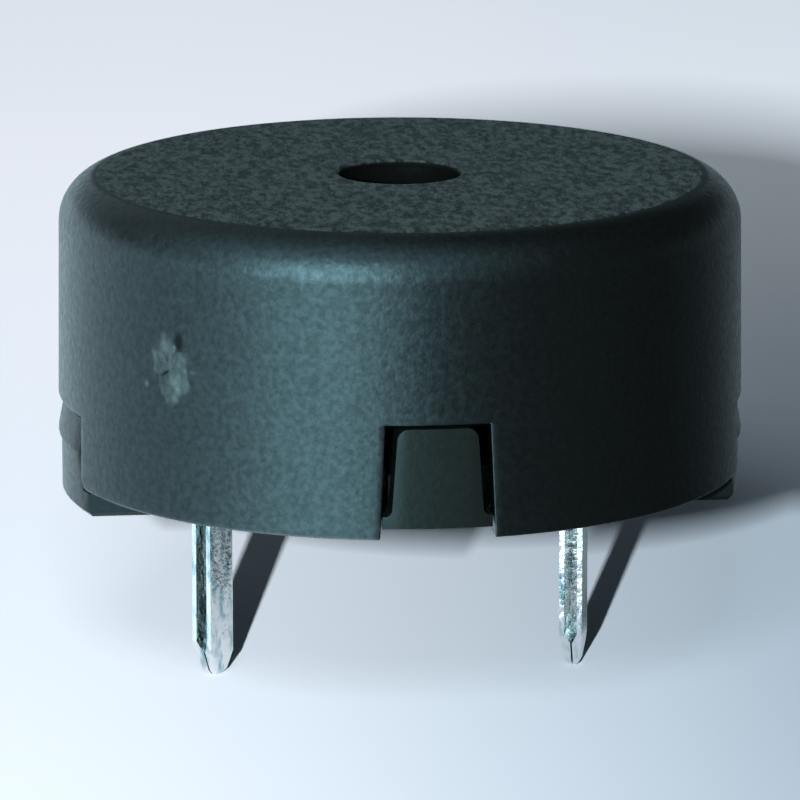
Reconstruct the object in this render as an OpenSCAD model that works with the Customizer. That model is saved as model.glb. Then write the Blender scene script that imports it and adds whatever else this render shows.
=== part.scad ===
// Round piezo buzzer for a circuit board. A moulded cup stands over a moulded base,
// and two folded sheet-metal pins leave the base downwards.
// The origin is on the axis, in the plane of the feet, where the board touches.
// The pins lie on the X axis and the front latch finger faces -Y. All lengths are in mm.

/* [Case] */
// Diameter of the case at its rim
case_d = 18.8; // [17:0.1:24]
// Height of the case, from its rim to its top
case_h = 8.0; // [7:0.1:12]
// How much the radius shrinks from the rim to the top
draft_w = 0.1; // [0:0.01:0.3]
// Thickness of the side wall
side_wall = 1.0; // [0.8:0.05:1.4]
// Thickness of the top
top_wall = 1.0; // [0.8:0.05:1.5]
// Radius of the outer edge of the top
top_fillet = 1.25; // [0.4:0.05:1.4]
// Radius of the outer edge of the rim
rim_round = 0.12; // [0.05:0.01:0.2]
// Diameter of the sound hole
port_d = 3.3; // [2:0.1:5]
// Chamfer round the mouth of the sound hole
port_chamfer = 0.08; // [0.02:0.01:0.2]

/* [Latch notches, front and back] */
// Width of a latch notch at its top
latch_notch_w = 2.76; // [2.4:0.02:4]
// Height of a latch notch above the rim
latch_notch_h = 3.1; // [2.4:0.05:3.6]
// How much a latch notch widens on each side at the rim
latch_flare = 0.14; // [0:0.01:0.25]

/* [Foot notches, left and right] */
// Width of a foot notch
foot_notch_w = 5.6; // [4:0.1:6.5]
// Height of a foot notch above the rim
foot_notch_h = 2.0; // [1.7:0.05:2.4]
// Lead-in at the rim of a foot notch, measured sideways and upwards
lead_in = 0.3; // [0.1:0.05:0.6]

/* [Base] */
// Height of the underside of the base above the rim of the case
base_lift = 0.3; // [0.1:0.05:0.6]
// Thickness of the floor of the base
floor_t = 1.2; // [0.8:0.05:1.6]
// Clearance between the base and the bore of the case
base_clear = 0.08; // [0.03:0.01:0.15]
// Thickness of the ring wall of the base
skirt_t = 0.7; // [0.5:0.05:0.9]
// Height of the ring wall above the floor
skirt_h = 1.9; // [1.7:0.05:2.2]
// Clearance between a tab and the top of its notch
tab_top_clear = 0.13; // [0.05:0.01:0.3]
// Clearance between a foot tab and each side of its notch
foot_side_clear = 0.12; // [0.06:0.01:0.4]
// How far the tabs lie inside the outer face of the case
tab_inset = 0.1; // [0.02:0.01:0.3]
// Radius of the top corners of a foot tab
foot_corner = 0.2; // [0.1:0.02:0.5]
// Height of the snap ridge of a foot tab above the rim
ridge_z = 0.95; // [0.8:0.05:1.2]
// How far the snap ridge stands out of its tab
ridge_out = 0.08; // [0.03:0.01:0.1]

/* [Latch fingers, front and back] */
// Clearance between a finger and each side of its notch, at the top
finger_clear = 0.31; // [0.1:0.01:0.5]
// How much a finger widens on each side towards its sill
finger_flare = 0.13; // [0:0.01:0.2]
// Thickness of a finger
finger_t = 1.15; // [1.05:0.05:1.5]
// Radius of the top corners of a finger
finger_corner = 0.32; // [0.1:0.02:0.6]
// Radius where a finger meets its sill
root_r = 0.2; // [0.1:0.02:0.24]
// Height of the sill, which fills the notch under a finger
sill_h = 0.32; // [0.2:0.02:0.6]
// Clearance between the sill and each side of its notch
sill_clear = 0.07; // [0.03:0.01:0.15]
// How far the relief round a finger reaches past the sides of its notch
relief_side = 0.15; // [0.05:0.05:0.3]
// How far the relief reaches inwards past the ring wall
relief_behind = 0.3; // [0.1:0.05:0.6]

/* [Feet] */
// How far the feet reach below the rim of the case
foot_drop = 0.7; // [0.3:0.05:1.5]
// Width of a foot
foot_w = 6.3; // [6.2:0.1:7]
// Gap between the rim of the case and the shoulders of a foot
foot_gap = 0.05; // [0.02:0.01:0.1]
// Length of a foot, measured towards the axis
foot_len = 2.6; // [1.8:0.1:3.2]
// Chamfer of the lower edges of a foot
foot_chamfer = 0.12; // [0.05:0.01:0.2]

/* [Diaphragm] */
// Gap between the side wall and the seat ring, which hangs from the top of the case
seat_gap = 0.4; // [0.2:0.05:0.8]
// Width of the seat ring
seat_w = 0.9; // [0.7:0.05:1.2]
// Depth of the air space between the top and the diaphragm
cavity_h = 1.4; // [1:0.05:1.8]
// Width of the glue between the edge of the metal plate and the edge of the seat ring
glue_w = 0.5; // [0.3:0.05:0.6]
// Thickness of the metal plate
plate_t = 0.2; // [0.1:0.02:0.3]
// Width of the rim of the metal plate that the ceramic disc leaves bare
bare_rim_w = 2.4; // [1.8:0.1:3]
// Thickness of the ceramic disc
disc_t = 0.2; // [0.1:0.02:0.3]
// Height of the glue ring, which holds the plate by its edge
bead_h = 0.4; // [0.3:0.02:0.6]

/* [Pins] */
// Distance between the axes of the two folds, which puts the middles of the pins 10 mm apart
pin_pitch = 9.9; // [9.6:0.1:10.4]
// Distance of the folds behind the X axis, which centres the pins on it
fold_back = 0.24; // [0.1:0.02:0.4]
// Length of the pins below the feet
pin_len = 5.35; // [3:0.05:8]
// Thickness of a pin across its two layers
pin_w = 0.64; // [0.55:0.01:0.9]
// Depth of a pin from its fold to its open side
pin_depth = 1.2; // [0.8:0.02:1.4]
// Thickness of the sheet that a pin is folded from
sheet_t = 0.14; // [0.1:0.01:0.2]
// Height of the pinched tip of a pin
tip_h = 1.0; // [0.6:0.05:1.4]
// Width of the seam where the two layers meet at the tip
seam_w = 0.05; // [0.02:0.01:0.08]
// Thickness of a pin at the end of its tip
tip_w = 0.4; // [0.2:0.02:0.5]
// Depth of a pin at the end of its tip
tip_depth = 0.55; // [0.3:0.05:0.7]
// Clearance round a pin in its slot through the base
slot_clear = 0.06; // [0.03:0.01:0.12]
// Height of the seam, above the end of the tip
seam_h = 0.7; // [0.3:0.05:0.9]
// Height of the blunt end of the tip
tip_end_h = 0.15; // [0.05:0.05:0.3]
// Angle by which the left pin is turned from the front towards the left
left_pin_angle = 43; // [0:1:60]
// Angle by which the right pin is turned from the front towards the left
right_pin_angle = 17; // [0:1:60]

/* [Contacts] */
// Width of the spring arm of a terminal
arm_w = 1.0; // [0.8:0.05:1.4]
// Length of the shoulder that rests on the floor of the base
shoulder_l = 2.0; // [1.8:0.1:2.4]
// Width of the shoulder
shoulder_w = 2.0; // [1.8:0.1:2.4]
// Height at which the spring arm bends over, above the shoulder
bend_h = 1.5; // [1:0.1:1.8]
// Distance of the right contact from the axis, where it meets the ceramic disc
right_contact_r = 2.6; // [2.4:0.1:3.6]
// Angle of the right spring arm, turned from +X
right_arm_angle = 205; // [190:1:215]
// Radius of the contact dimple
dimple_r = 0.3; // [0.2:0.02:0.4]
// Gap left between a dimple and what it presses on
contact_gap = 0.02; // [0.01:0.01:0.04]

/* [Hidden] */

$fn = 96;
// Overshoot of a cutting shape past the face that it opens
over = 1;

rim_r = case_d / 2;
rim_z = foot_drop;
top_z = rim_z + case_h;
ceiling_z = top_z - top_wall;
seat_z = ceiling_z - cavity_h;
draft_angle = atan(draft_w / case_h);
bore_r = rim_r - side_wall;
port_r = port_d / 2;

// The top fillet touches the drafted wall, so its centre is set from that wall
fillet_z = top_z - top_fillet;
fillet_r = wall_r(fillet_z) - top_fillet / cos(draft_angle);
tangent_z = fillet_z + top_fillet * sin(draft_angle);

base_z = rim_z + base_lift;
floor_z = base_z + floor_t;
base_r = bore_r - base_clear;
tab_r = rim_r - tab_inset;
finger_top_z = rim_z + latch_notch_h - tab_top_clear;
sill_z = base_z + sill_h;
foot_top_z = rim_z + foot_notch_h - tab_top_clear;
foot_shoulder_z = rim_z - foot_gap;
// Half widths of a latch notch at the rim and of a finger at its top and its root
notch_rim_half = latch_notch_w / 2 + latch_flare;
finger_top_half = latch_notch_w / 2 - finger_clear;
finger_root_half = finger_top_half + finger_flare;

plate_z = seat_z - plate_t;
disc_z = plate_z - disc_t;
bead_z = seat_z - bead_h;
seat_r = bore_r - draft_w - seat_gap;
plate_r = seat_r - glue_w;
disc_r = plate_r - bare_rim_w;

// Heights of the end of a pin, of the top of its tip and of the top of its shoulder
end_z = -pin_len;
tip_z = end_z + tip_h;
shoulder_z = floor_z + sheet_t;
// The left spring arm runs along +Y until it is under the middle of the plate's bare rim
left_arm_angle = 90;
left_contact_r = (plate_r + disc_r) / 2;
left_arm_l = reach(-pin_pitch / 2, left_arm_angle, left_contact_r);
right_arm_l = reach(pin_pitch / 2, right_arm_angle, right_contact_r);

// Outer radius of the case at height z
function wall_r(z) = rim_r - draft_w * (z - rim_z) / case_h;

// Distance from the point (x, 0) to the circle of radius r, in the direction of an angle.
// An arm that starts outside the circle stops where it first meets it.
function reach(x, angle, r) =
    let (along = -x * cos(angle), aside = x * sin(angle))
    let (half = sqrt(max(0, r * r - aside * aside)))
    abs(x) > r ? along - half : along + half;

// Points of a round corner of radius r about c, from angle a to angle b
function corner(c, r, a, b, steps = 8) =
    [for (i = [0 : steps]) c + r * [cos(a + (b - a) * i / steps), sin(a + (b - a) * i / steps)]];

// Carries an outline, drawn sideways and upwards, outwards from the axis in one direction
module radial(angle, from, to) {
    rotate([0, 0, angle])
        translate([from, 0, 0])
            rotate([90, 0, 90])
                linear_extrude(to - from)
                    children();
}

// Half section of the solid cup, before it is hollowed
module cup_outline() {
    round_r = rim_r - rim_round;
    union() {
        polygon([[0, rim_z], [round_r, rim_z], [rim_r, rim_z + rim_round],
                 [wall_r(tangent_z), tangent_z], [0, tangent_z]]);
        translate([round_r, rim_z + rim_round]) circle(r = rim_round);
        translate([0, rim_z]) square([fillet_r, case_h]);
        translate([fillet_r, fillet_z]) circle(r = top_fillet);
    }
}

// Half section of the hollow, which leaves the seat ring hanging from the top
module hollow_outline() {
    difference() {
        polygon([[0, rim_z - over], [bore_r, rim_z - over], [bore_r, rim_z],
                 [bore_r - draft_w, ceiling_z], [0, ceiling_z]]);
        translate([seat_r - seat_w, seat_z]) square([seat_w, cavity_h + over]);
    }
}

// Half section of the sound hole with its chamfered mouth
module port_outline() {
    mouth_r = port_r + port_chamfer;
    polygon([[0, ceiling_z - over], [port_r, ceiling_z - over], [port_r, top_z - port_chamfer],
             [mouth_r, top_z], [mouth_r, top_z + over], [0, top_z + over]]);
}

// Opening of a latch notch: straight sides that spread towards the rim
module latch_notch_outline() {
    top_half = latch_notch_w / 2;
    polygon([[-notch_rim_half, rim_z - over], [notch_rim_half, rim_z - over],
             [notch_rim_half, rim_z], [top_half, rim_z + latch_notch_h],
             [-top_half, rim_z + latch_notch_h], [-notch_rim_half, rim_z]]);
}

// Opening of a foot notch: upright sides with a lead-in at the rim
module foot_notch_outline() {
    half = foot_notch_w / 2;
    rim_half = half + lead_in;
    polygon([[-rim_half, rim_z - over], [rim_half, rim_z - over], [rim_half, rim_z],
             [half, rim_z + lead_in], [half, rim_z + foot_notch_h],
             [-half, rim_z + foot_notch_h], [-half, rim_z + lead_in], [-rim_half, rim_z]]);
}

module case() {
    color([0.10, 0.12, 0.13])
        difference() {
            rotate_extrude() cup_outline();
            rotate_extrude() hollow_outline();
            rotate_extrude() port_outline();
            for (angle = [90, 270])
                radial(angle, bore_r - over, rim_r + over) latch_notch_outline();
            for (angle = [0, 180])
                radial(angle, bore_r - over, rim_r + over) foot_notch_outline();
        }
}

// Face of a latch finger: it stands on the sill in a round root and has round top corners
module finger_outline() {
    sill_half = notch_rim_half - sill_clear;
    root_x = finger_root_half + root_r;
    root_z = sill_z + root_r;
    top_x = finger_top_half - finger_corner;
    corner_z = finger_top_z - finger_corner;
    polygon(concat([[-sill_half, base_z], [sill_half, base_z], [sill_half, sill_z]],
                   corner([root_x, root_z], root_r, 270, 180),
                   corner([top_x, corner_z], finger_corner, 0, 90),
                   corner([-top_x, corner_z], finger_corner, 90, 180),
                   corner([-root_x, root_z], root_r, 0, -90),
                   [[-sill_half, sill_z]]));
}

// Relief that frees a finger: on both sides down to the sill, and behind it down to the floor
module finger_relief_outline() {
    half = notch_rim_half + relief_side;
    height = skirt_h + floor_t + over;
    for (x = [-half, finger_root_half])
        translate([x, sill_z]) square([half - finger_root_half, height]);
    translate([-half, floor_z]) square([2 * half, height]);
}

// Face of a foot tab with the wider foot under it, whose shoulders lie under the rim
module foot_tab_outline() {
    tab_half = foot_notch_w / 2 - foot_side_clear;
    half = foot_w / 2;
    corner_x = tab_half - foot_corner;
    corner_z = foot_top_z - foot_corner;
    polygon(concat([[foot_chamfer - half, 0], [half - foot_chamfer, 0], [half, foot_chamfer],
                    [half, foot_shoulder_z], [tab_half, foot_shoulder_z]],
                   corner([corner_x, corner_z], foot_corner, 0, 90),
                   corner([-corner_x, corner_z], foot_corner, 90, 180),
                   [[-tab_half, foot_shoulder_z], [-half, foot_shoulder_z],
                    [-half, foot_chamfer]]));
}

// Half section of a foot tab: the foot, the outer face, the snap ridge and its lead-in slope
module foot_tab_section() {
    ridge_r = tab_r + ridge_out;
    ridge_low = rim_z + ridge_z;
    polygon([[tab_r - foot_len, 0], [tab_r - foot_chamfer, 0], [tab_r, foot_chamfer],
             [tab_r, ridge_low - ridge_out / 2], [ridge_r, ridge_low],
             [ridge_r, ridge_low + ridge_out], [tab_r - ridge_out, foot_top_z],
             [base_r - skirt_t, foot_top_z], [base_r - skirt_t, base_z],
             [tab_r - foot_len, base_z]]);
}

// Slot through the floor for one pin
module pin_slot() {
    width = pin_w + 2 * slot_clear;
    translate([-width / 2, -width / 2, base_z - over])
        cube([width, pin_depth + 2 * slot_clear, floor_t + 2 * over]);
}

// Floor and ring wall of the base, with the relief round the fingers
module base_cup() {
    difference() {
        translate([0, 0, base_z]) cylinder(r = base_r, h = floor_t + skirt_h);
        translate([0, 0, floor_z]) cylinder(r = base_r - skirt_t, h = skirt_h + over);
        for (angle = [90, 270])
            radial(angle, base_r - skirt_t - relief_behind, rim_r) finger_relief_outline();
    }
}

module base() {
    color([0.13, 0.16, 0.17])
        difference() {
            union() {
                base_cup();
                for (angle = [90, 270])
                    intersection() {
                        radial(angle, tab_r - finger_t, rim_r) finger_outline();
                        cylinder(r = tab_r, h = top_z);
                    }
                for (angle = [0, 180])
                    intersection() {
                        radial(angle, tab_r - foot_len - over, rim_r) foot_tab_outline();
                        rotate_extrude() foot_tab_section();
                    }
            }
            at_pin(-1, left_pin_angle) pin_slot();
            at_pin(1, right_pin_angle) pin_slot();
        }
}

module diaphragm_plate() {
    color([0.80, 0.62, 0.30])
        translate([0, 0, plate_z]) cylinder(r = plate_r, h = plate_t);
}

module piezo_disc() {
    color([0.88, 0.86, 0.80])
        translate([0, 0, disc_z]) cylinder(r = disc_r, h = disc_t);
}

// Glue under the seat ring and round the edge of the plate, with a sloped lower corner
module adhesive_ring() {
    slope = bead_h / 2;
    color([0.90, 0.90, 0.88])
        rotate_extrude()
            polygon([[plate_r, bead_z], [seat_r - slope, bead_z], [seat_r, bead_z + slope],
                     [seat_r, seat_z], [plate_r, seat_z]]);
}

// Puts the axis of a fold in its place, with the open side turned from the front
module at_pin(side, angle) {
    translate([side * pin_pitch / 2, fold_back, 0])
        rotate([0, 0, 180 - angle])
            children();
}

// Outline of a pin seen from above: a strip folded back on itself, open towards +Y
module hairpin() {
    circle(d = pin_w, $fn = 48);
    translate([-pin_w / 2, 0]) square([pin_w, pin_depth - pin_w / 2]);
}

// Outline of the channel seen from its open side: it closes in a V, with the seam below
module channel_outline() {
    half = pin_w / 2 - sheet_t;
    seam = seam_w / 2;
    polygon([[-half, shoulder_z], [-half, tip_z], [-seam, end_z + seam_h], [-seam, end_z - over],
             [seam, end_z - over], [seam, end_z + seam_h], [half, tip_z], [half, shoulder_z]]);
}

// Envelope of a pin seen from its open side, narrowing at the tip
module tip_front_outline() {
    half = pin_w / 2;
    end = tip_w / 2;
    polygon([[-half, shoulder_z], [-half, tip_z], [-end, end_z + tip_end_h], [-end / 2, end_z],
             [end / 2, end_z], [end, end_z + tip_end_h], [half, tip_z], [half, shoulder_z]]);
}

// Envelope of a pin seen from its side: the tip narrows towards the middle of its depth
module tip_side_outline() {
    back = -pin_w / 2;
    front = back + pin_depth;
    mid = (back + front) / 2;
    end = tip_depth / 2;
    polygon([[back, shoulder_z], [back, tip_z], [mid - end, end_z + tip_end_h],
             [mid - end / 2, end_z], [mid + end / 2, end_z], [mid + end, end_z + tip_end_h],
             [front, tip_z], [front, shoulder_z]]);
}

// One folded pin, from the end of its tip to the top of the shoulder
module pin() {
    inside_y = sheet_t - pin_w / 2;
    intersection() {
        difference() {
            translate([0, 0, end_z]) linear_extrude(shoulder_z - end_z) hairpin();
            translate([0, inside_y + pin_depth, 0])
                rotate([90, 0, 0]) linear_extrude(pin_depth) channel_outline();
        }
        translate([0, pin_depth + over, 0])
            rotate([90, 0, 0]) linear_extrude(pin_depth + 2 * over) tip_front_outline();
        translate([-pin_w, 0, 0])
            rotate([90, 0, 90]) linear_extrude(2 * pin_w) tip_side_outline();
    }
}

// Stem and spring arm: up from the shoulder, then over to the contact dimple
module spring_arm(length, contact_z) {
    bend_z = shoulder_z + bend_h;
    end = length + dimple_r;
    tail_z = contact_z - contact_gap - dimple_r / 2;
    half = sheet_t / 2;
    translate([0, arm_w / 2, 0])
        rotate([90, 0, 0])
            linear_extrude(arm_w)
                polygon([[-half, floor_z], [half, floor_z], [half, bend_z],
                         [end, tail_z - sheet_t], [end, tail_z], [-half, bend_z + sheet_t]]);
    translate([length, 0, contact_z - contact_gap - dimple_r]) sphere(r = dimple_r, $fn = 48);
}

// One stamped terminal: the pin, the shoulder on the floor of the base and the spring arm
module terminal(side, pin_angle, arm_angle, arm_len, contact_z) {
    color([0.78, 0.80, 0.81]) {
        at_pin(side, pin_angle) pin();
        translate([side * pin_pitch / 2, 0, 0])
            rotate([0, 0, arm_angle]) {
                translate([-shoulder_l / 2, -shoulder_w / 2, floor_z])
                    cube([shoulder_l, shoulder_w, sheet_t]);
                spring_arm(arm_len, contact_z);
            }
    }
}

module terminal_left() {
    terminal(-1, left_pin_angle, left_arm_angle, left_arm_l, plate_z);
}

module terminal_right() {
    terminal(1, right_pin_angle, right_arm_angle, right_arm_l, disc_z);
}

case();
base();
diaphragm_plate();
piezo_disc();
adhesive_ring();
terminal_left();
terminal_right();
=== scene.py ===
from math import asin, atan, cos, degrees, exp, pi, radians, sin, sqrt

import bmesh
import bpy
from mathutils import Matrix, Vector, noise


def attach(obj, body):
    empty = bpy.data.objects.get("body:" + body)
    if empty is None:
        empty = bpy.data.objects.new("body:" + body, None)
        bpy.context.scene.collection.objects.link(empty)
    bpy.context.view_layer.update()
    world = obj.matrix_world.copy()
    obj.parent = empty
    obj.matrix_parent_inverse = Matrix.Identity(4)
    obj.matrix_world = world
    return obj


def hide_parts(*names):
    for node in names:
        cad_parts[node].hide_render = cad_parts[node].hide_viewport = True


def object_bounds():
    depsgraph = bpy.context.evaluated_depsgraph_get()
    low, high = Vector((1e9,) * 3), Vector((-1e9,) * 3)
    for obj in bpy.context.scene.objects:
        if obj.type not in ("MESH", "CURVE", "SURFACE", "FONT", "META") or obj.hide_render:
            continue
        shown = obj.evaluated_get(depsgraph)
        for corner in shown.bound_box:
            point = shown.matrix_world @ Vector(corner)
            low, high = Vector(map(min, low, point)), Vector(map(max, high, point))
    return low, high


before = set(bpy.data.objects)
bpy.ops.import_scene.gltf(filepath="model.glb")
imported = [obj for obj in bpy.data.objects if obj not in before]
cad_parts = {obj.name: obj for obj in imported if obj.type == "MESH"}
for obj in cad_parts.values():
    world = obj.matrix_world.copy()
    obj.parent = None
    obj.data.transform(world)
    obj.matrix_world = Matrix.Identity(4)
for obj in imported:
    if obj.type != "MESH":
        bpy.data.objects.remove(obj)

# Round piezo buzzer on a pale floor, seen a little from above and from the left of its front.
# The solids are the frame. The case gets a denser mesh of the same form, which carries the gate
# mark. The other pieces keep their solids, with small bevels on the base and the terminals.
# Lengths are written in mm and angles in degrees.

MM = 0.001
cad_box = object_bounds()

# Case, with the same sizes as the solid
CASE_D = 18.8
CASE_H = 8.0
RIM_Z = 0.7
DRAFT_W = 0.1
SIDE_WALL = 1.0
TOP_WALL = 1.0
TOP_FILLET = 1.25
RIM_ROUND = 0.12
PORT_R = 1.65
PORT_CHAMFER = 0.08
LATCH_NOTCH_W = 2.76
LATCH_NOTCH_H = 3.1
LATCH_FLARE = 0.14
FOOT_NOTCH_W = 5.6
FOOT_NOTCH_H = 2.0
LEAD_IN = 0.3
SEAT_R = 7.9
SEAT_W = 0.9
CAVITY_H = 1.4

RIM_R = CASE_D / 2
TOP_Z = RIM_Z + CASE_H
CASE_MIDDLE_Z = RIM_Z + CASE_H / 2
CEILING_Z = TOP_Z - TOP_WALL
BORE_R = RIM_R - SIDE_WALL
LATCH_TOP_Z = RIM_Z + LATCH_NOTCH_H
FOOT_TOP_Z = RIM_Z + FOOT_NOTCH_H
DRAFT_ANGLE = degrees(atan(DRAFT_W / CASE_H))
FILLET_Z = TOP_Z - TOP_FILLET

# Sectors round the case, from the left foot notch. The even ones are notches, here with the height
# up to which they are open, and the odd ones are walls. The gate mark is on the front left wall.
OPEN_TOPS = {0: FOOT_TOP_Z, 2: LATCH_TOP_Z, 4: FOOT_TOP_Z, 6: LATCH_TOP_Z}
FOOT_SECTORS = (0, 4)
SCAR_SECTOR = 1
# Steps of the case's mesh round its axis, as shares of a sector
WALL_STEP = 0.02
FOOT_STEP = 0.05
LATCH_STEP = 0.08
SCAR_STEP = 0.0037
# Shares of the front left wall between which its columns are dense
SCAR_SHARES = (0.26, 0.54)
# Height of the one ring inside the bore above the notches
BORE_RING_Z = 5
# Heights this close together count as the same
SAME = 1e-6

# Gate mark on the front left of the side wall: its middle, and half its width and height
SCAR_AZIMUTH = -46.7
SCAR_Z = 4.80
SCAR_HALF = (0.62, 0.88)
# How far above and below its middle the mesh is dense, in rings how far apart, and how far the mark
# can reach
SCAR_DENSE = 1.1
SCAR_RING = 0.045
SCAR_REACH = 1.3
# How far it stands out, how much that varies, and how far a spot of it stands out
SCAR_HEIGHT = 0.022
SCAR_ROUGH = 0.032
SPOT_HEIGHT = 0.02
# Its paler and its duller spots: place across and up, half width, half height and strength
SCAR_SPOTS = (
    (-0.12, 0.60, 0.20, 0.18, 0.45),
    (0.28, -0.36, 0.15, 0.26, 0.60),
    (0.20, -0.80, 0.14, 0.10, 0.40),
    (0.52, 0.33, 0.14, 0.16, 0.30),
    (0.80, 0.00, 0.10, 0.05, 0.40),
    (-0.20, -0.34, 0.14, 0.15, -0.30),
    (-0.83, -0.52, 0.06, 0.06, 0.90),
)
# Torn nicks, one at its upper edge and a short slanting one inside it, shallow and darkened with
# painted shade: place across and up, half width, half height and slant
NICKS = (
    (0.33, 0.76, 0.19, 0.34, 0),
    (-0.13, -0.13, 0.10, 0.13, 1.3),
)
NICK_DEPTH = 0.012

# Bevels: widths, and the angle above which an edge gets one
CASE_BEVEL = 0.05
SMALL_BEVEL = 0.04
BEVEL_ANGLE = 32
# Points this close are joined, and faces within this angle become one, before a solid is bevelled
WELD_GAP = 0.0005
FLAT_ANGLE = 0.8

# Camera, as in the photograph: its azimuth from the front, and its elevation and distance from the
# middle of the case
CAMERA_AZIMUTH = -6.2
CAMERA_ELEVATION = 12.3
CAMERA_DISTANCE = 169.2
CAMERA_CLIP = (10, 20000)
SENSOR_WIDTH = 36.0
LENS = 277.5
# Width of the picture in pixels, and where the middle of the case lies in it
IMAGE_SIZE = 800
MIDDLE_PIXEL = (399.9, 315.0)

# Near lamp beside the camera, narrow and tall: azimuth and elevation from the case, distance, size
KEY_BEARING = (-12.6, 12.3)
KEY_DISTANCE = 158
KEY_SIZE = (2.2, 6.5)
KEY_STRENGTH = 1.0
# Soft lamp above the camera, and a little light from all round
SKY_BEARING = (-14, 36)
SKY_DISTANCE = 200
SKY_SIZE = (60, 50)
SKY_STRENGTH = 0.10
AMBIENT = (0.012, 0.014, 0.015)

# What reflections show, as brightness by azimuth round the case: the floor of the room, the window
# at the front left and the walls above the floor
ROOM = ((-180, 0.5), (-162, 0.9), (-147, 1.10), (-98, 1.12), (-76, 1.22), (-57, 1.85), (-40, 3.35),
        (-20, 3.7), (-8, 1.8), (4, 0.25), (27, 0.08), (86, 0.03), (114, 0.12), (136, 0.23),
        (158, 0.25), (180, 0.5))
WINDOW = ((-180, 0), (-60, 0), (-42, 5.0), (-22, 6.0), (-6, 0), (180, 0))
WALLS = ((-180, 0.20), (-160, 0.28), (-145, 0.30), (-110, 0.20), (-60, 0.15), (0, 0.08), (30, 0.03),
         (150, 0.03), (168, 0.08), (180, 0.20))
ROOM_TINT = (0.76, 1.0, 1.12)
# How far from the axis reflections change from the lit floor to the room
ROOM_FROM = (6, 9)
# Elevation at which the floor's brightness has faded out, and those between which the window's lower
# and upper edges fade
FLOOR_GLOW_TOP = 20
WINDOW_FOOT = (-2, 9)
WINDOW_HEAD = (36, 42)
# Soft light round the window: where its middle is, how bright it is there and how narrow it is
GLOW_BEARING = (-38, 34)
GLOW = 1.9
GLOW_NARROWNESS = 3
# What the camera sees past the floor
BACKGROUND = (0.62, 0.67, 0.75)

# The floor lies at the tips of the pins. This one height is in metres.
FLOOR_Z = cad_box[0].z
FLOOR_HALF = 1500
# Floor as the camera sees it, on its left and right and near and far, and where these fade. The darker
# right is painted shade and the brighter far side is painted light.
FLOOR_LEFT = (2.52, 2.80, 3.12)
FLOOR_RIGHT = (1.04, 1.37, 1.66)
FLOOR_FAR_LEFT = (2.98, 3.10, 3.38)
FLOOR_FAR_RIGHT = (2.70, 2.95, 3.20)
FLOOR_FADE = (-12, 20)
FLOOR_FAR = (5, 80)
# Power with which the near lamp's light falls off over the floor, and the most that is made up for
FLOOR_FALLOFF = 2.0
FALLOFF_MOST = 12
# Colour with which the floor lights the case from below
FLOOR_BOUNCE = (0.70, 0.75, 0.80)

# Colours
CASE_COLOUR = (0.0042, 0.0052, 0.0050)
TOP_COLOURS = ((0.003, 0.004, 0.004), (0.085, 0.112, 0.106))
SCAR_COLOUR = (0.095, 0.145, 0.150)
BASE_COLOUR = (0.0085, 0.0125, 0.0118)
TIN_COLOUR = (0.88, 0.89, 0.88)
# Painted reflection: dark teal patches on the tin
TIN_REFLECTION_PATCH_COLOUR = (0.32, 0.50, 0.52)
# Painted shade inside the fold of the tin
TIN_FOLD_SHADE_COLOUR = (0.08, 0.13, 0.13)
BRASS_COLOUR = (0.78, 0.60, 0.30)
CERAMIC_COLOUR = (0.82, 0.81, 0.78)
SILICONE_COLOUR = (0.85, 0.85, 0.83)

# Gloss of the plastic: its tint, and its level on the case, in the torn nicks, in the sound hole and on
# the base. The low levels in the torn nicks and the sound hole paint their shade.
PLASTIC_TINT = (0.66, 1.0, 1.05)
CASE_SHINE = (0.36, 0.64)
NICK_SHADE_SHINE = 0.12
HOLE_SHADE_SHINE = 0.04
BASE_SHINE = 0.2

SIDE_ROUGHNESS = 0.30
TOP_ROUGHNESS = 0.60
LINE_ROUGHNESS = 0.70
SCAR_ROUGHNESS = 0.55
BASE_ROUGHNESS = (0.26, 0.34)
TIN_ROUGHNESS = (0.10, 0.24)
BRASS_ROUGHNESS = (0.28, 0.45)

# Sizes of the features of each surface
SATIN_SIZE = 0.20
SHINE_SIZE = 0.17
GRAIN_SIZE = 0.16
SPECKLE_SIZE = 0.20
BASE_SATIN_SIZE = 0.18
TIN_WAVE_SIZE = 0.40
TIN_MOTTLE_SIZE = 0.14
TIN_REFLECTION_PATCH_SIZE = 0.30
BRASS_LINE_SIZE = 0.08
# Scales along X, Y and Z that draw features out: front to back on the top, down the pins and along
# the rolled plate
GRAIN_SCALE = (1, 0.42, 1)
TIN_SCALE = (1, 1, 0.35)
BRASS_SCALE = (0.05, 1, 1)
# Depths of relief
SATIN_DEPTH = 0.011
GRAIN_DEPTH = 0.045
BASE_DEPTH = 0.010
TIN_DEPTH = 0.05
# Weight of the tin's mottles against its waves
MOTTLE_WEIGHT = 0.35
# How far the tin looks round itself for the inside of the fold, which gets painted shade
FOLD_SHADE_REACH = 0.5

# The grain of the top begins at this depth below it and ends at this radius, in a thin dark line
GRAIN_TOP = (0.2, 0.1)
GRAIN_R = 8.25
GRAIN_EDGE = 0.06
LINE_HALF = 0.18
LINE_SHARE = 0.6
# How far outside the sound hole its painted shade begins and ends, where its gloss is dimmed and its
# colour kept plain
HOLE_SHADE_EDGE = (0.07, 0.01)


def bearing(azimuth, elevation=0):
    """Unit vector from the object towards a bearing. Azimuth 0 is the front, -Y, and +90 is +X."""
    a, e = radians(azimuth), radians(elevation)
    return Vector((sin(a) * cos(e), -cos(a) * cos(e), sin(e)))


def place_from_case(azimuth, elevation, distance):
    """Place in metres at a bearing and a distance from the middle of the case."""
    return (bearing(azimuth, elevation) * distance + Vector((0, 0, CASE_MIDDLE_Z))) * MM


# Case

def wall_r(z):
    """Outer radius of the side wall at a height."""
    return RIM_R - DRAFT_W * (z - RIM_Z) / CASE_H


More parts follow.
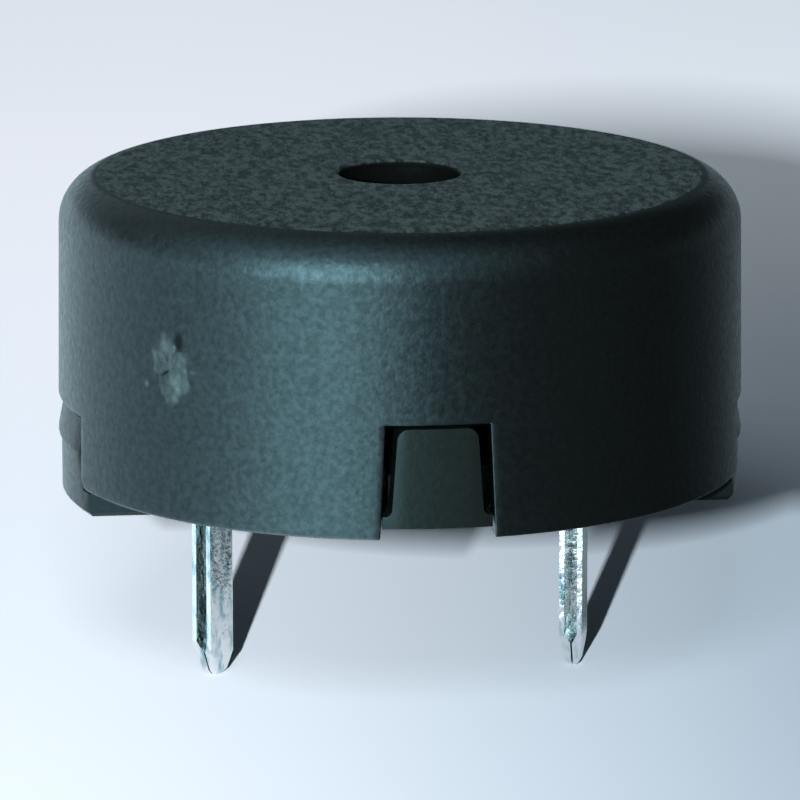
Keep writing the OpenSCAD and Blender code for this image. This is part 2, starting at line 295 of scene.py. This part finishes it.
def inner_r(z):
    """Radius of the bore at a height."""
    return BORE_R - DRAFT_W * (z - RIM_Z) / (CEILING_Z - RIM_Z)


def latch_half(z):
    """Half width of a latch notch, which spreads towards the rim."""
    return LATCH_NOTCH_W / 2 + LATCH_FLARE * (LATCH_TOP_Z - min(z, LATCH_TOP_Z)) / LATCH_NOTCH_H


def foot_half(z):
    """Half width of a foot notch, with its lead-in at the rim."""
    return FOOT_NOTCH_W / 2 + max(0, RIM_Z + LEAD_IN - z)


def steps(start, end, size):
    """Numbers from start up to end at an even step no larger than size, without the end."""
    count = max(1, round((end - start) / size + 0.499))
    return [start + (end - start) * i / count for i in range(count)]


def arc(centre, radius, start, end, count):
    """Points round a centre from one angle to another, with both ends."""
    angles = [radians(start + (end - start) * i / count) for i in range(count + 1)]
    return [(centre[0] + radius * cos(a), centre[1] + radius * sin(a)) for a in angles]


def case_section():
    """Half section of the case, a closed ring of (radius, height) that goes up the outside."""
    # Distances from an edge to its nearest rings and to the evenly spaced ones past them
    fine, near, past = 0.1, 0.15, 0.35
    dense = (SCAR_Z - SCAR_DENSE, SCAR_Z + SCAR_DENSE)
    low = RIM_Z + RIM_ROUND
    levels = [RIM_Z + LEAD_IN]
    levels += steps(RIM_Z + LEAD_IN + near, FOOT_TOP_Z - near, 0.3) + [FOOT_TOP_Z - near]
    levels += [FOOT_TOP_Z, FOOT_TOP_Z + near]
    levels += steps(FOOT_TOP_Z + past, LATCH_TOP_Z - near, 0.25) + [LATCH_TOP_Z - fine]
    levels += [LATCH_TOP_Z] + steps(LATCH_TOP_Z + fine, dense[0], fine)
    levels = [z for z in levels if z < dense[0]]
    fillet_r = wall_r(FILLET_Z) - TOP_FILLET / cos(radians(DRAFT_ANGLE))
    tangent_z = FILLET_Z + TOP_FILLET * sin(radians(DRAFT_ANGLE))
    ring = [(BORE_R, RIM_Z), (BORE_R + fine, RIM_Z), (RIM_R - RIM_ROUND - fine, RIM_Z)]
    ring += arc((RIM_R - RIM_ROUND, low), RIM_ROUND, -90, 0, 4)
    ring += [(wall_r(z), z) for z in levels]
    ring += [(wall_r(z), z) for z in steps(dense[0], dense[1], SCAR_RING)]
    ring += [(wall_r(z), z) for z in steps(dense[1], tangent_z, 0.2)]
    ring += arc((fillet_r, FILLET_Z), TOP_FILLET, DRAFT_ANGLE, 90, 20)
    ring += [(r, TOP_Z) for r in reversed(steps(PORT_R + 0.3, fillet_r - 0.05, 0.5))]
    ring += [(PORT_R + near, TOP_Z), (PORT_R + PORT_CHAMFER, TOP_Z), (PORT_R, TOP_Z - PORT_CHAMFER)]
    ring += [(PORT_R, CEILING_Z), (SEAT_R - SEAT_W, CEILING_Z)]
    ring += [(SEAT_R - SEAT_W, CEILING_Z - CAVITY_H), (SEAT_R, CEILING_Z - CAVITY_H)]
    ring += [(SEAT_R, CEILING_Z), (inner_r(CEILING_Z), CEILING_Z)]
    ring += [(inner_r(BORE_RING_Z), BORE_RING_Z)]
    ring += [(inner_r(z), z) for z in reversed(levels)]
    return ring


def case_columns():
    """Columns of the case mesh as (sector, share of the sector), starting at the left foot notch."""
    columns = []
    for sector in range(8):
        if sector == SCAR_SECTOR:
            start, end = SCAR_SHARES
            shares = steps(0, start, WALL_STEP) + steps(start, end, SCAR_STEP)
            shares += steps(end, 1, WALL_STEP)
        elif sector in FOOT_SECTORS:
            shares = steps(0, 1, FOOT_STEP)
        elif sector in OPEN_TOPS:
            shares = steps(0, 1, LATCH_STEP)
        else:
            shares = steps(0, 1, WALL_STEP)
        columns += [(sector, share) for share in shares]
    return columns


def sector_edges(r, z, on_wall):
    """Azimuths at which the notches and the walls between them begin, for one ring of points."""
    latch_z = min(z, LATCH_TOP_Z) if on_wall else LATCH_TOP_Z
    foot_z = min(z, FOOT_TOP_Z) if on_wall else FOOT_TOP_Z
    latch_r = r if on_wall and z <= LATCH_TOP_Z else wall_r(LATCH_TOP_Z)
    foot_r = r if on_wall and z <= FOOT_TOP_Z else wall_r(FOOT_TOP_Z)
    latch = degrees(asin(latch_half(latch_z) / latch_r))
    foot = degrees(asin(foot_half(foot_z) / foot_r))
    return [-90 - foot, -90 + foot, -latch, latch, 90 - foot, 90 + foot, 180 - latch, 180 + latch,
            270 - foot]


def scar_height(azimuth, z):
    """Gate mark at a point: how pale it is and how much painted shade its torn nicks get, from 0 to 1,
    and how far it stands out.
    """
    u = radians(azimuth - SCAR_AZIMUTH) * RIM_R
    v = z - SCAR_Z
    place = Vector((u * 2.6, v * 2.2, 0.7))
    ragged = noise.noise(place) * 0.34 + noise.noise(place * 2.7) * 0.22
    lean = u + 0.10 * v
    reach = sqrt((lean / SCAR_HALF[0]) ** 2 + (v / SCAR_HALF[1]) ** 2) + ragged
    share = min(1, max(0, (1.06 - reach) / 0.3))
    share = share * share * (3 - 2 * share)
    rough = noise.noise(Vector((u * 7, v * 4.5, 3.1))) + 0.5 * noise.noise(Vector((u * 15, v * 11, 5)))
    height = share * (SCAR_HEIGHT + SCAR_ROUGH * rough)
    pale = share * (0.30 + 0.3 * rough)
    for across, up, wide, high, strength in SCAR_SPOTS:
        spot = exp(-((u - across) / wide) ** 2 - ((v - up) / high) ** 2)
        pale += strength * spot
        height += SPOT_HEIGHT * strength * spot
    dark = 0
    # The darkness of the torn nicks is painted shade: they take away paleness, and their relief is
    # shallow
    for across, up, wide, high, slant in NICKS:
        side = (u - across - slant * (v - up)) / wide
        depth = max(0, 1 - sqrt(side ** 2 + ((v - up) / high) ** 2))
        height -= NICK_DEPTH * depth
        pale -= depth
        dark += min(1, 1.8 * depth)
    return min(1, max(0, pale)), dark, height


def case_grid(mesh, ring, on_wall, columns):
    """Points of the case's mesh, in a row for each point of the section, with the gate mark and the
    painted shade of its torn nicks.
    """
    scar = mesh.verts.layers.float.new("scar")
    nick = mesh.verts.layers.float.new("nick")
    grid = []
    for (r, z), wall in zip(ring, on_wall):
        edges = sector_edges(r, z, wall)
        scarred = wall and r > BORE_R + SIDE_WALL / 2 and abs(z - SCAR_Z) < SCAR_REACH
        row = []
        for sector, share in columns:
            azimuth = edges[sector] + (edges[sector + 1] - edges[sector]) * share
            pale, dark, height = scar_height(azimuth, z) if scarred else (0, 0, 0)
            point = bearing(azimuth) * (r + height) + Vector((0, 0, z))
            vert = mesh.verts.new(point * MM)
            vert[scar] = pale
            vert[nick] = dark
            row.append(vert)
        grid.append(row)
    return grid


def close_notch(mesh, grid, ring, columns, sector, path):
    """Closes the top and both sides of a notch. The path is the stretch of the section it opens."""
    inner, outer = grid[path[0]], grid[path[-1]]
    members = [j for j, (own, _) in enumerate(columns) if own == sector]
    for j in members:
        k = (j + 1) % len(columns)
        mesh.faces.new((inner[j], inner[k], outer[k], outer[j]))
    parts = [path]
    if sector in FOOT_SECTORS:
        # The lead-in bends the sides, so each one is closed in two flat parts
        bend = RIM_Z + LEAD_IN
        lower = [i for i in path if ring[i][1] <= bend + SAME]
        upper = [i for i in path if ring[i][1] >= bend - SAME]
        parts = [lower, upper]
    for j in (members[0], (members[-1] + 1) % len(columns)):
        for part in parts:
            mesh.faces.new([grid[i][j] for i in part])


def build_case():
    """The case as one closed mesh, which stands for its solid."""
    ring = case_section()
    columns = case_columns()
    on_wall = [r > BORE_R - DRAFT_W - 0.01 and z < CEILING_Z for r, z in ring]

    def opened(index, top):
        """Whether a notch with this top cuts through a point of the section."""
        return on_wall[index] and ring[index][1] <= top + SAME

    mesh = bmesh.new()
    grid = case_grid(mesh, ring, on_wall, columns)
    for i in range(len(ring)):
        following = (i + 1) % len(ring)
        for j, (sector, _) in enumerate(columns):
            top = OPEN_TOPS.get(sector)
            if top is not None and opened(i, top) and opened(following, top):
                continue
            k = (j + 1) % len(columns)
            mesh.faces.new((grid[i][j], grid[i][k], grid[following][k], grid[following][j]))
    for sector, top in OPEN_TOPS.items():
        wall = [i for i in range(len(ring)) if opened(i, top)]
        gap = next(n for n in range(len(wall) - 1) if wall[n + 1] != wall[n] + 1)
        close_notch(mesh, grid, ring, columns, sector, wall[gap + 1:] + wall[:gap + 1])
    bmesh.ops.recalc_face_normals(mesh, faces=mesh.faces)
    data = bpy.data.meshes.new("case_body")
    mesh.to_mesh(data)
    mesh.free()
    case = bpy.data.objects.new("case_body", data)
    bpy.context.scene.collection.objects.link(case)
    for face in data.polygons:
        face.use_smooth = True
    bevel(case, CASE_BEVEL, 2)
    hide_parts("case")
    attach(case, "root")
    return case


def bevel(obj, width, segments):
    """Rounds the sharp edges of a piece."""
    made = obj.modifiers.new("bevel", "BEVEL")
    made.width = width * MM
    made.segments = segments
    made.limit_method = "ANGLE"
    made.angle_limit = radians(BEVEL_ANGLE)


def round_solid(obj, width, segments):
    """Joins a solid's triangles into whole faces and rounds its edges."""
    weld = obj.modifiers.new("weld", "WELD")
    weld.merge_threshold = WELD_GAP * MM
    flat = obj.modifiers.new("flat", "DECIMATE")
    flat.decimate_type = "DISSOLVE"
    flat.angle_limit = radians(FLAT_ANGLE)
    bevel(obj, width, segments)
    normals = obj.modifiers.new("normals", "WEIGHTED_NORMAL")
    normals.keep_sharp = True


# Nodes that the materials share

def node(tree, kind, **values):
    """A node with its settings and its inputs' plain values, given by name."""
    made = tree.nodes.new(kind)
    for key, value in values.items():
        if key in made.inputs:
            made.inputs[key].default_value = value
        else:
            setattr(made, key, value)
    return made


def calculate(tree, operation, *values):
    """Result of a math node on sockets or plain numbers."""
    made = node(tree, "ShaderNodeMath", operation=operation)
    for index, value in enumerate(values):
        if isinstance(value, (int, float)):
            made.inputs[index].default_value = value
        else:
            tree.links.new(value, made.inputs[index])
    return made.outputs[0]


def blotches(tree, place, size, detail=2.0, roughness=0.5):
    """Noise with features of a given size, from 0 to 1."""
    made = node(tree, "ShaderNodeTexNoise", Scale=1 / (size * MM), Detail=detail, Roughness=roughness)
    tree.links.new(place, made.inputs["Vector"])
    return made.outputs["Fac"]


def between(tree, value, low, high, start=0.0, end=1.0):
    """Takes a value that runs from low to high smoothly from start to end."""
    made = node(tree, "ShaderNodeMapRange", interpolation_type="SMOOTHSTEP")
    made.inputs["From Min"].default_value = low
    made.inputs["From Max"].default_value = high
    made.inputs["To Min"].default_value = start
    made.inputs["To Max"].default_value = end
    tree.links.new(value, made.inputs["Value"])
    return made.outputs["Result"]


def mixed(tree, share, first, second):
    """Mix of two values, each a socket or a plain number."""
    made = node(tree, "ShaderNodeMix", data_type="FLOAT")
    tree.links.new(share, made.inputs["Factor"])
    for name, value in (("A", first), ("B", second)):
        if isinstance(value, (int, float)):
            made.inputs[name].default_value = value
        else:
            tree.links.new(value, made.inputs[name])
    return made.outputs["Result"]


def mixed_colour(tree, share, first, second):
    """Mix of two colours, each a socket or three plain numbers."""
    made = node(tree, "ShaderNodeMix", data_type="RGBA")
    tree.links.new(share, made.inputs["Factor"])
    for name, value in (("A", first), ("B", second)):
        if isinstance(value, tuple):
            made.inputs[name].default_value = (*value, 1)
        else:
            tree.links.new(value, made.inputs[name])
    return made.outputs["Result"]


def coordinate(tree, place, axis):
    """One coordinate of a place."""
    split = node(tree, "ShaderNodeSeparateXYZ")
    tree.links.new(place, split.inputs[0])
    return split.outputs[axis]


def from_axis(tree, place):
    """Distance of a place from the axis of the case."""
    flat = node(tree, "ShaderNodeVectorMath", operation="MULTIPLY")
    flat.inputs[1].default_value = (1, 1, 0)
    tree.links.new(place, flat.inputs[0])
    length = node(tree, "ShaderNodeVectorMath", operation="LENGTH")
    tree.links.new(flat.outputs[0], length.inputs[0])
    return length.outputs["Value"]


def towards(tree, place, direction):
    """How far a place lies along a direction."""
    made = node(tree, "ShaderNodeVectorMath", operation="DOT_PRODUCT")
    made.inputs[1].default_value = direction
    tree.links.new(place, made.inputs[0])
    return made.outputs["Value"]


def stretched(tree, place, scale):
    """Place for a pattern that is drawn out along each axis whose scale is under 1."""
    made = node(tree, "ShaderNodeMapping")
    made.inputs["Scale"].default_value = scale
    tree.links.new(place, made.inputs["Vector"])
    return made.outputs["Vector"]


def bump(tree, shader, height, depth):
    """Raises a surface by a height from 0 to 1 times a depth."""
    made = node(tree, "ShaderNodeBump", Strength=1.0, Distance=depth * MM)
    tree.links.new(height, made.inputs["Height"])
    tree.links.new(made.outputs["Normal"], shader.inputs["Normal"])


# Materials

def new_material(name, colour, roughness, metallic=0.0):
    """A material with plain values, its nodes, its shader and a place on the object."""
    material = bpy.data.materials.new(name)
    material.use_nodes = True
    tree = material.node_tree
    shader = tree.nodes["Principled BSDF"]
    shader.inputs["Base Color"].default_value = (*colour, 1)
    shader.inputs["Roughness"].default_value = roughness
    shader.inputs["Metallic"].default_value = metallic
    place = node(tree, "ShaderNodeTexCoord").outputs["Object"]
    return material, tree, shader, place


def case_material():
    """Black plastic with satin sides, a finely grained top, the paler, duller gate mark, and painted
    shade in the sound hole and the torn nicks.
    """
    material, tree, shader, place = new_material("case_plastic", CASE_COLOUR, SIDE_ROUGHNESS)
    shader.inputs["Specular Tint"].default_value = (*PLASTIC_TINT, 1)

    # Where the grained top, the line round it, the painted shade of the sound hole and the gate mark
    # are
    high = coordinate(tree, place, "Z")
    high = between(tree, high, (TOP_Z - GRAIN_TOP[0]) * MM, (TOP_Z - GRAIN_TOP[1]) * MM)
    out = from_axis(tree, place)
    inside = between(tree, out, (GRAIN_R + GRAIN_EDGE) * MM, (GRAIN_R - GRAIN_EDGE) * MM)
    grained = calculate(tree, "MULTIPLY", high, inside)
    off_line = calculate(tree, "SUBTRACT", out, (GRAIN_R + GRAIN_EDGE) * MM)
    off_line = calculate(tree, "ABSOLUTE", off_line)
    line = between(tree, off_line, LINE_HALF * MM, 0, 0, LINE_SHARE)
    line = calculate(tree, "MULTIPLY", high, line)
    # Painted shade of the sound hole: a ring that dims its gloss and keeps its colour plain
    hole = between(tree, out, (PORT_R + HOLE_SHADE_EDGE[0]) * MM, (PORT_R + HOLE_SHADE_EDGE[1]) * MM)
    scar = node(tree, "ShaderNodeAttribute", attribute_name="scar").outputs["Fac"]
    nick = node(tree, "ShaderNodeAttribute", attribute_name="nick").outputs["Fac"]

    # Relief
    satin = blotches(tree, place, SATIN_SIZE, 2.0, 0.55)
    drawn = stretched(tree, place, GRAIN_SCALE)
    grain = blotches(tree, drawn, GRAIN_SIZE, 3.0, 0.6)
    side_height = calculate(tree, "MULTIPLY", satin, SATIN_DEPTH / GRAIN_DEPTH)
    bump(tree, shader, mixed(tree, grained, side_height, grain), GRAIN_DEPTH)

    # Gloss
    shine = between(tree, blotches(tree, place, SHINE_SIZE, 3.0, 0.6), 0.25, 0.75, *CASE_SHINE)
    # A dimmed gloss in the sound hole paints its shade
    shine = mixed(tree, hole, shine, HOLE_SHADE_SHINE)
    # A dimmed gloss in the torn nicks paints their shade
    tree.links.new(mixed(tree, nick, shine, NICK_SHADE_SHINE), shader.inputs["Specular IOR Level"])
    side = between(tree, satin, 0.3, 0.7, SIDE_ROUGHNESS - 0.04, SIDE_ROUGHNESS + 0.06)
    top = between(tree, grain, 0.3, 0.7, TOP_ROUGHNESS + 0.1, TOP_ROUGHNESS - 0.08)
    roughness = mixed(tree, line, mixed(tree, grained, side, top), LINE_ROUGHNESS)
    roughness = mixed(tree, scar, roughness, SCAR_ROUGHNESS)
    tree.links.new(roughness, shader.inputs["Roughness"])

    # Colour
    speckle = between(tree, blotches(tree, drawn, SPECKLE_SIZE, 3.0, 0.65), 0.40, 0.64)
    colour = mixed_colour(tree, grained, CASE_COLOUR, mixed_colour(tree, speckle, *TOP_COLOURS))
    # Plain dark colour in the sound hole, part of its painted shade
    colour = mixed_colour(tree, hole, colour, CASE_COLOUR)
    colour = mixed_colour(tree, scar, colour, SCAR_COLOUR)
    tree.links.new(colour, shader.inputs["Base Color"])
    return material


def base_material():
    """Black plastic, a little greener and less shiny than the case."""
    material, tree, shader, place = new_material("base_plastic", BASE_COLOUR, BASE_ROUGHNESS[0])
    shader.inputs["Specular Tint"].default_value = (*PLASTIC_TINT, 1)
    shader.inputs["Specular IOR Level"].default_value = BASE_SHINE
    satin = blotches(tree, place, BASE_SATIN_SIZE, 2.0, 0.55)
    bump(tree, shader, satin, BASE_DEPTH)
    tree.links.new(between(tree, satin, 0.3, 0.7, *BASE_ROUGHNESS), shader.inputs["Roughness"])
    return material


def tin_material():
    """Bright tin over folded sheet, wavy down the pin and mottled, with dark teal patches of painted
    reflection and painted shade in the fold.
    """
    material, tree, shader, place = new_material("tinned_brass", TIN_COLOUR, TIN_ROUGHNESS[1], 1.0)
    drawn = stretched(tree, place, TIN_SCALE)
    waves = blotches(tree, drawn, TIN_WAVE_SIZE, 1.0)
    mottles = blotches(tree, place, TIN_MOTTLE_SIZE)
    bump(tree, shader, calculate(tree, "MULTIPLY_ADD", mottles, MOTTLE_WEIGHT, waves), TIN_DEPTH)
    tree.links.new(between(tree, mottles, 0.35, 0.65, *TIN_ROUGHNESS), shader.inputs["Roughness"])
    # Dark teal patches are painted reflection of the dark surroundings
    reflection_patches = between(tree, blotches(tree, drawn, TIN_REFLECTION_PATCH_SIZE, 3.0, 0.6), 0.46, 0.68)
    tin = mixed_colour(tree, reflection_patches, TIN_COLOUR, TIN_REFLECTION_PATCH_COLOUR)
    # Painted shade: the tin darkens where the fold closes round it
    fold_shade = node(tree, "ShaderNodeAmbientOcclusion", samples=8, only_local=True,
                  Distance=FOLD_SHADE_REACH * MM)
    unshaded_share = between(tree, fold_shade.outputs["AO"], 0.12, 0.55)
    colour = mixed_colour(tree, unshaded_share, TIN_FOLD_SHADE_COLOUR, tin)
    tree.links.new(colour, shader.inputs["Base Color"])
    return material


def brass_material():
    """Rolled brass sheet, with fine lines along the rolling."""
    material, tree, shader, place = new_material("plate_brass", BRASS_COLOUR, BRASS_ROUGHNESS[0], 1.0)
    lines = blotches(tree, stretched(tree, place, BRASS_SCALE), BRASS_LINE_SIZE)
    tree.links.new(between(tree, lines, 0.3, 0.7, *BRASS_ROUGHNESS), shader.inputs["Roughness"])
    return material


def speckled_material(name, colour, roughness, size, depth):
    """A matt material with a slight surface of its own, for the ceramic and the silicone."""
    material, tree, shader, place = new_material(name, colour, roughness)
    bump(tree, shader, blotches(tree, place, size), depth)
    return material


def make_materials():
    """The material of each node, by its name."""
    tin = tin_material()
    return {
        "case": case_material(),
        "base": base_material(),
        "diaphragm_plate": brass_material(),
        "piezo_disc": speckled_material("piezo_ceramic", CERAMIC_COLOUR, 0.45, 0.05, 0.002),
        "adhesive_ring": speckled_material("silicone", SILICONE_COLOUR, 0.5, 0.4, 0.02),
        "terminal_left": tin,
        "terminal_right": tin,
    }


# Floor, light and camera

def by_azimuth(tree, direction, levels):
    """Brightness in a direction from the case, by its azimuth alone."""
    split = node(tree, "ShaderNodeSeparateXYZ")
    tree.links.new(direction, split.inputs[0])
    back = calculate(tree, "MULTIPLY", split.outputs["Y"], -1)
    azimuth = calculate(tree, "ARCTAN2", split.outputs["X"], back)
    share = calculate(tree, "MULTIPLY_ADD", azimuth, 0.5 / pi, 0.5)
    ramp = node(tree, "ShaderNodeValToRGB")
    stops = ramp.color_ramp.elements
    brightest = max(value for angle, value in levels)
    for index, (angle, value) in enumerate(levels):
        place = (angle + 180) / 360
        # A new ramp already has two stops
        stop = stops[index] if index < 2 else stops.new(place)
        stop.position = place
        level = value / brightest
        stop.color = (level, level, level, 1)
    tree.links.new(share, ramp.inputs["Fac"])
    return calculate(tree, "MULTIPLY", ramp.outputs["Color"], brightest)


def mirror_ray(tree):
    """1 for what a shiny surface reflects to the camera, and 0 for what it throws on a dull one."""
    path = node(tree, "ShaderNodeLightPath")
    straight = calculate(tree, "LESS_THAN", path.outputs["Diffuse Depth"], 0.5)
    return calculate(tree, "MULTIPLY", path.outputs["Is Glossy Ray"], straight)


def floor_colour(tree, place):
    """Pale colour that makes up for the near lamp's fall-off, darkened to the right by painted shade
    and brightened far off by painted light.
    """
    # How much darker the lamp leaves a place than the middle of the floor, held within bounds
    key_place = place_from_case(*KEY_BEARING, KEY_DISTANCE)
    lamp = node(tree, "ShaderNodeVectorMath", operation="DISTANCE")
    lamp.inputs[1].default_value = key_place
    tree.links.new(place, lamp.inputs[0])
    middle = (key_place - Vector((0, 0, FLOOR_Z))).length
    share = calculate(tree, "DIVIDE", lamp.outputs["Value"], middle)
    falloff = calculate(tree, "POWER", share, FLOOR_FALLOFF)
    falloff = calculate(tree, "MINIMUM", falloff, FALLOFF_MOST)

    across = towards(tree, place, bearing(CAMERA_AZIMUTH + 90))
    # Painted shade to the right and painted light far off
    right = between(tree, across, FLOOR_FADE[0] * MM, FLOOR_FADE[1] * MM)
    far = between(tree, coordinate(tree, place, "Y"), FLOOR_FAR[0] * MM, FLOOR_FAR[1] * MM)
    near_colour = mixed_colour(tree, right, FLOOR_LEFT, FLOOR_RIGHT)
    far_colour = mixed_colour(tree, right, FLOOR_FAR_LEFT, FLOOR_FAR_RIGHT)
    scaled = node(tree, "ShaderNodeVectorMath", operation="SCALE")
    tree.links.new(mixed_colour(tree, far, near_colour, far_colour), scaled.inputs[0])
    tree.links.new(falloff, scaled.inputs["Scale"])
    return scaled.outputs["Vector"]


def floor_material():
    """Pale floor, of which reflections farther out show the bright and the dark side of the room."""
    material = bpy.data.materials.new("floor")
    material.use_nodes = True
    tree = material.node_tree
    tree.nodes.clear()
    place = node(tree, "ShaderNodeTexCoord").outputs["Object"]

    # Eyes and mirrors see the pale colour. What the floor throws back on the case is plain.
    mirror = mirror_ray(tree)
    camera_ray = node(tree, "ShaderNodeLightPath").outputs["Is Camera Ray"]
    seen = calculate(tree, "MAXIMUM", camera_ray, mirror)
    surface = node(tree, "ShaderNodeBsdfDiffuse")
    colour = mixed_colour(tree, seen, FLOOR_BOUNCE, floor_colour(tree, place))
    tree.links.new(colour, surface.inputs["Color"])

    away = between(tree, from_axis(tree, place), ROOM_FROM[0] * MM, ROOM_FROM[1] * MM)
    room = node(tree, "ShaderNodeEmission")
    room.inputs["Color"].default_value = (*ROOM_TINT, 1)
    tree.links.new(by_azimuth(tree, place, ROOM), room.inputs["Strength"])
    both = node(tree, "ShaderNodeMixShader")
    tree.links.new(calculate(tree, "MULTIPLY", mirror, away), both.inputs["Fac"])
    tree.links.new(surface.outputs[0], both.inputs[1])
    tree.links.new(room.outputs[0], both.inputs[2])
    output = node(tree, "ShaderNodeOutputMaterial")
    tree.links.new(both.outputs[0], output.inputs["Surface"])
    return material


def make_floor():
    """One large square under the tips of the pins."""
    mesh = bpy.data.meshes.new("floor")
    half = FLOOR_HALF * MM
    corners = [(-half, -half, FLOOR_Z), (half, -half, FLOOR_Z), (half, half, FLOOR_Z),
               (-half, half, FLOOR_Z)]
    mesh.from_pydata(corners, [], [(0, 1, 2, 3)])
    floor = bpy.data.objects.new("floor", mesh)
    bpy.context.scene.collection.objects.link(floor)
    floor.data.materials.append(floor_material())


def area_light(name, azimuth, elevation, distance, size, strength):
    """An area light that faces the case. A strength of 1 lights a white card to white."""
    data = bpy.data.lights.new(name, "AREA")
    data.shape = "RECTANGLE"
    data.size, data.size_y = size[0] * MM, size[1] * MM
    data.energy = strength * (pi * distance * MM) ** 2
    light = bpy.data.objects.new(name, data)
    bpy.context.scene.collection.objects.link(light)
    light.location = place_from_case(azimuth, elevation, distance)
    light.rotation_mode = "QUATERNION"
    light.rotation_quaternion = bearing(azimuth, elevation).to_track_quat("Z", "Y")
    light.visible_camera = False
    # In reflections the window and the room stand in for the lamp
    light.visible_glossy = False


def make_lights():
    """The narrow lamp beside the camera and the soft one above it."""
    area_light("key", *KEY_BEARING, KEY_DISTANCE, KEY_SIZE, KEY_STRENGTH)
    area_light("sky", *SKY_BEARING, SKY_DISTANCE, SKY_SIZE, SKY_STRENGTH)


def make_world():
    """Pale where the camera sees it, a bright window side in reflections, and else a low light."""
    world = bpy.data.worlds.new("world")
    bpy.context.scene.world = world
    world.use_nodes = True
    tree = world.node_tree
    direction = node(tree, "ShaderNodeTexCoord").outputs["Generated"]
    height = calculate(tree, "ARCSINE", coordinate(tree, direction, "Z"))

    low = between(tree, height, 0, radians(FLOOR_GLOW_TOP), 1, 0)
    level = calculate(tree, "MULTIPLY", by_azimuth(tree, direction, ROOM), low)
    above_foot = between(tree, height, radians(WINDOW_FOOT[0]), radians(WINDOW_FOOT[1]))
    below_head = between(tree, height, radians(WINDOW_HEAD[0]), radians(WINDOW_HEAD[1]), 1, 0)
    pane = calculate(tree, "MULTIPLY", above_foot, below_head)
    level = calculate(tree, "MULTIPLY_ADD", by_azimuth(tree, direction, WINDOW), pane, level)
    facing = calculate(tree, "MAXIMUM", towards(tree, direction, bearing(*GLOW_BEARING)), 0)
    share = calculate(tree, "POWER", facing, GLOW_NARROWNESS)
    level = calculate(tree, "MULTIPLY_ADD", share, GLOW, level)
    level = calculate(tree, "ADD", by_azimuth(tree, direction, WALLS), level)
    room = node(tree, "ShaderNodeVectorMath", operation="SCALE")
    room.inputs[0].default_value = ROOM_TINT
    tree.links.new(level, room.inputs["Scale"])

    lit = mixed_colour(tree, mirror_ray(tree), AMBIENT, room.outputs["Vector"])
    camera_ray = node(tree, "ShaderNodeLightPath").outputs["Is Camera Ray"]
    seen = mixed_colour(tree, camera_ray, lit, BACKGROUND)
    tree.links.new(seen, tree.nodes["Background"].inputs["Color"])


def make_camera():
    """The photograph's camera. A slight turn off the case puts the case where the photograph has it."""
    data = bpy.data.cameras.new("camera")
    data.lens = LENS
    data.sensor_width = SENSOR_WIDTH
    data.clip_start, data.clip_end = CAMERA_CLIP[0] * MM, CAMERA_CLIP[1] * MM
    camera = bpy.data.objects.new("camera", data)
    bpy.context.scene.collection.objects.link(camera)
    camera.location = place_from_case(CAMERA_AZIMUTH, CAMERA_ELEVATION, CAMERA_DISTANCE)
    pixels = LENS / SENSOR_WIDTH * IMAGE_SIZE
    half = IMAGE_SIZE / 2
    turn = atan((half - MIDDLE_PIXEL[0]) / pixels)
    tilt = atan((half - MIDDLE_PIXEL[1]) / pixels)
    camera.rotation_mode = "XYZ"
    pitch = radians(90 - CAMERA_ELEVATION) - tilt
    camera.rotation_euler = (pitch, 0, radians(CAMERA_AZIMUTH) - turn)
    bpy.context.scene.camera = camera


materials = make_materials()
case = build_case()
case.data.materials.append(materials["case"])
for name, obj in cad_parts.items():
    obj.data.materials.clear()
    obj.data.materials.append(materials[name])
round_solid(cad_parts["base"], SMALL_BEVEL, 2)
round_solid(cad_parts["terminal_left"], SMALL_BEVEL, 3)
round_solid(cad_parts["terminal_right"], SMALL_BEVEL, 3)
make_floor()
make_lights()
make_world()
make_camera()

bpy.context.scene.view_settings.view_transform = "Standard"
